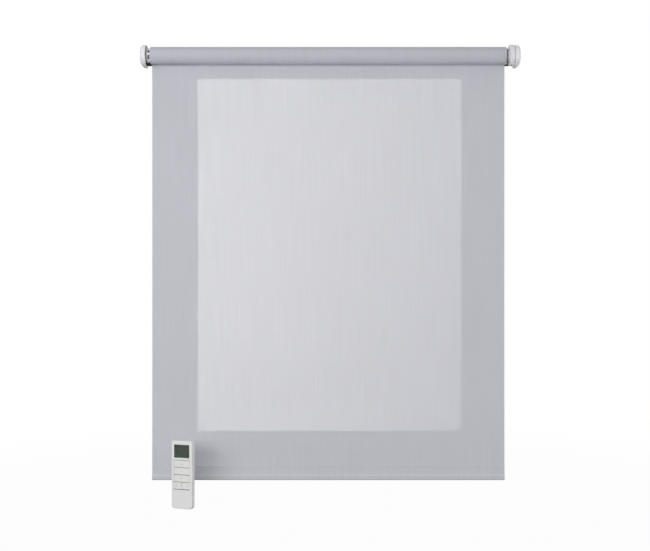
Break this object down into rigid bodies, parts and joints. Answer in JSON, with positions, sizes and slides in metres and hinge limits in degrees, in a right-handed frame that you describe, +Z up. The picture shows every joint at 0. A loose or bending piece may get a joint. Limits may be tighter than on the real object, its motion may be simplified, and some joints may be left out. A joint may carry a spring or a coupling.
{
  "type": "motorized roller blind",
  "caption": "Battery-powered roller blind with a motor in its tube, covered wall brackets, translucent cloth, weighted hem and a five-key handset.",
  "frame": {"origin": "centre of the four wall holes, on the wall plane at the height of the roller's axis", "axes": "+X along the roller to the motor end, +Y into the wall, +Z up"},
  "size_m": [0.8, 0.1046, 0.9676],
  "materials": {
    "steel_white": "satin",
    "cover_plastic": "satin",
    "insert_plastic": "matte",
    "head_plastic": "satin",
    "bright_steel": "brushed",
    "gear_steel": "sintered",
    "bearing_bronze": "satin",
    "tube_aluminium": "mill",
    "cloth": "woven",
    "spline_plastic": "matte",
    "board_green": "satin",
    "clear_button": "clear",
    "handset_plastic": "satin",
    "clear_window": "clear",
    "display_glass": "smooth",
    "keypad_rubber": "matte"
  },
  "bodies": {
    "mounting": {"left_bracket": "steel_white", "right_bracket": "steel_white", "left_cover": "cover_plastic", "right_cover": "cover_plastic", "pin_socket": "insert_plastic", "motor_socket": "insert_plastic", "motor_clip": "bright_steel", "motor_head": "head_plastic", "motor_housing": "bright_steel", "charge_socket": "bright_steel", "motor_board": "board_green", "battery_cells": "bright_steel", "battery_sleeve": "insert_plastic", "dc_motor": "bright_steel", "ring_gear": "gear_steel", "output_bearing": "bearing_bronze", "motor_end_cap": "insert_plastic", "fabric_panel": "cloth"},
    "tube": {"roller_tube": "tube_aluminium", "fabric_roll": "cloth", "fabric_spline": "spline_plastic", "idle_plug": "insert_plastic", "spring_retainer": "bright_steel", "idle_spring": "bright_steel", "drive_wheel": "insert_plastic", "crown_ring": "insert_plastic", "output_shaft": "bright_steel", "drive_clip": "bright_steel"},
    "idle_pin": {"idle_pin": "bright_steel"},
    "rotor": {"motor_pinion": "bright_steel"},
    "carrier_1": {"carrier_1": "gear_steel"},
    "carrier_2": {"carrier_2": "gear_steel"},
    "hem": {"hem_bar": "tube_aluminium", "hem_pocket": "cloth", "hem_end_caps": "insert_plastic"},
    "set_button": {"set_button": "clear_button"},
    "remote": {"remote_front_shell": "handset_plastic", "remote_back_shell": "handset_plastic", "remote_window": "clear_window", "remote_display": "display_glass", "remote_board": "board_green", "remote_keypad": "keypad_rubber", "remote_battery": "bright_steel", "battery_contacts": "bearing_bronze", "remote_screws": "bright_steel"},
    "battery_door": {"battery_door": "handset_plastic"},
    "up_key": {"up_key": "handset_plastic"},
    "stop_key": {"stop_key": "handset_plastic"},
    "down_key": {"down_key": "handset_plastic"},
    "left_key": {"left_key": "handset_plastic"},
    "right_key": {"right_key": "handset_plastic"},
    "planet_1_1": {"planet_1_1": "gear_steel"},
    "planet_1_2": {"planet_1_2": "gear_steel"},
    "planet_1_3": {"planet_1_3": "gear_steel"},
    "planet_2_1": {"planet_2_1": "gear_steel"},
    "planet_2_2": {"planet_2_2": "gear_steel"},
    "planet_2_3": {"planet_2_3": "gear_steel"},
    "planet_3_1": {"planet_3_1": "gear_steel"},
    "planet_3_2": {"planet_3_2": "gear_steel"},
    "planet_3_3": {"planet_3_3": "gear_steel"}
  },
  "joints": [
    {"name": "tube_spin", "type": "hinge", "parent": "mounting", "child": "tube", "pos_m": [0, -0.03, 0], "axis": [1, 0, 0], "range_deg": [0, 2560]},
    {"name": "hem_travel", "type": "slide", "parent": "mounting", "child": "hem", "axis": [0, 0, 1], "range_m": [0, 0.84], "deforming": ["fabric_panel"]},
    {"name": "idle_pin_slide", "type": "slide", "parent": "mounting", "child": "idle_pin", "axis": [1, 0, 0], "range_m": [0, 0.006], "stiffness_N_per_m": 500, "springref_m": -0.01, "deforming": ["idle_spring"]},
    {"name": "rotor_spin", "type": "hinge", "parent": "mounting", "child": "rotor", "pos_m": [0, -0.03, 0], "axis": [1, 0, 0], "continuous": true},
    {"name": "carrier_1_spin", "type": "hinge", "parent": "mounting", "child": "carrier_1", "pos_m": [0, -0.03, 0], "axis": [1, 0, 0], "continuous": true},
    {"name": "carrier_2_spin", "type": "hinge", "parent": "mounting", "child": "carrier_2", "pos_m": [0, -0.03, 0], "axis": [1, 0, 0], "continuous": true},
    {"name": "set_button_press", "type": "slide", "parent": "mounting", "child": "set_button", "axis": [0, 0, 1], "range_m": [0, 0.0006], "stiffness_N_per_m": 2500, "springref_m": -0.0002},
    {"name": "remote_lift", "type": "slide", "parent": "mounting", "child": "remote", "axis": [0, 0, 1], "range_m": [0, 0.15]},
    {"name": "battery_door_swing", "type": "hinge", "parent": "remote", "child": "battery_door", "pos_m": [-0.3015, -0.08487, -0.938], "axis": [-0.9272, 0.3746, 0], "range_deg": [0, 60]},
    {"name": "planet_1_1_spin", "type": "hinge", "parent": "carrier_1", "child": "planet_1_1", "pos_m": [0, -0.0246, 0], "axis": [1, 0, 0], "continuous": true},
    {"name": "planet_1_2_spin", "type": "hinge", "parent": "carrier_1", "child": "planet_1_2", "pos_m": [0, -0.0327, 0.00468], "axis": [1, 0, 0], "continuous": true},
    {"name": "planet_1_3_spin", "type": "hinge", "parent": "carrier_1", "child": "planet_1_3", "pos_m": [0, -0.0327, -0.00468], "axis": [1, 0, 0], "continuous": true},
    {"name": "planet_2_1_spin", "type": "hinge", "parent": "carrier_2", "child": "planet_2_1", "pos_m": [0, -0.0246, 0], "axis": [1, 0, 0], "continuous": true},
    {"name": "planet_2_2_spin", "type": "hinge", "parent": "carrier_2", "child": "planet_2_2", "pos_m": [0, -0.0327, 0.00468], "axis": [1, 0, 0], "continuous": true},
    {"name": "planet_2_3_spin", "type": "hinge", "parent": "carrier_2", "child": "planet_2_3", "pos_m": [0, -0.0327, -0.00468], "axis": [1, 0, 0], "continuous": true},
    {"name": "planet_3_1_spin", "type": "hinge", "parent": "tube", "child": "planet_3_1", "pos_m": [0, -0.0246, 0], "axis": [1, 0, 0], "continuous": true},
    {"name": "planet_3_2_spin", "type": "hinge", "parent": "tube", "child": "planet_3_2", "pos_m": [0, -0.0327, 0.00468], "axis": [1, 0, 0], "continuous": true},
    {"name": "planet_3_3_spin", "type": "hinge", "parent": "tube", "child": "planet_3_3", "pos_m": [0, -0.0327, -0.00468], "axis": [1, 0, 0], "continuous": true},
    {"name": "up_key_press", "type": "slide", "parent": "remote", "child": "up_key", "axis": [0.3746, 0.9272, 0], "range_m": [0, 0.0005], "stiffness_N_per_m": 3000, "springref_m": -0.0001},
    {"name": "stop_key_press", "type": "slide", "parent": "remote", "child": "stop_key", "axis": [0.3746, 0.9272, 0], "range_m": [0, 0.0005], "stiffness_N_per_m": 3000, "springref_m": -0.0001},
    {"name": "down_key_press", "type": "slide", "parent": "remote", "child": "down_key", "axis": [0.3746, 0.9272, 0], "range_m": [0, 0.0005], "stiffness_N_per_m": 3000, "springref_m": -0.0001},
    {"name": "left_key_press", "type": "slide", "parent": "remote", "child": "left_key", "axis": [0.3746, 0.9272, 0], "range_m": [0, 0.0005], "stiffness_N_per_m": 3000, "springref_m": -0.0001},
    {"name": "right_key_press", "type": "slide", "parent": "remote", "child": "right_key", "axis": [0.3746, 0.9272, 0], "range_m": [0, 0.0005], "stiffness_N_per_m": 3000, "springref_m": -0.0001}
  ],
  "couplings": [
    {"joint": "hem_travel", "follows": "tube_spin", "m_per_rad": 0.0188},
    {"joint": "rotor_spin", "follows": "tube_spin", "ratio": 91.125},
    {"joint": "carrier_1_spin", "follows": "tube_spin", "ratio": 20.25},
    {"joint": "carrier_2_spin", "follows": "tube_spin", "ratio": 4.5},
    {"joint": "planet_1_1_spin", "follows": "tube_spin", "ratio": -56.7},
    {"joint": "planet_1_2_spin", "follows": "tube_spin", "ratio": -56.7},
    {"joint": "planet_1_3_spin", "follows": "tube_spin", "ratio": -56.7},
    {"joint": "planet_2_1_spin", "follows": "tube_spin", "ratio": -12.6},
    {"joint": "planet_2_2_spin", "follows": "tube_spin", "ratio": -12.6},
    {"joint": "planet_2_3_spin", "follows": "tube_spin", "ratio": -12.6},
    {"joint": "planet_3_1_spin", "follows": "tube_spin", "ratio": -2.8},
    {"joint": "planet_3_2_spin", "follows": "tube_spin", "ratio": -2.8},
    {"joint": "planet_3_3_spin", "follows": "tube_spin", "ratio": -2.8}
  ]
}
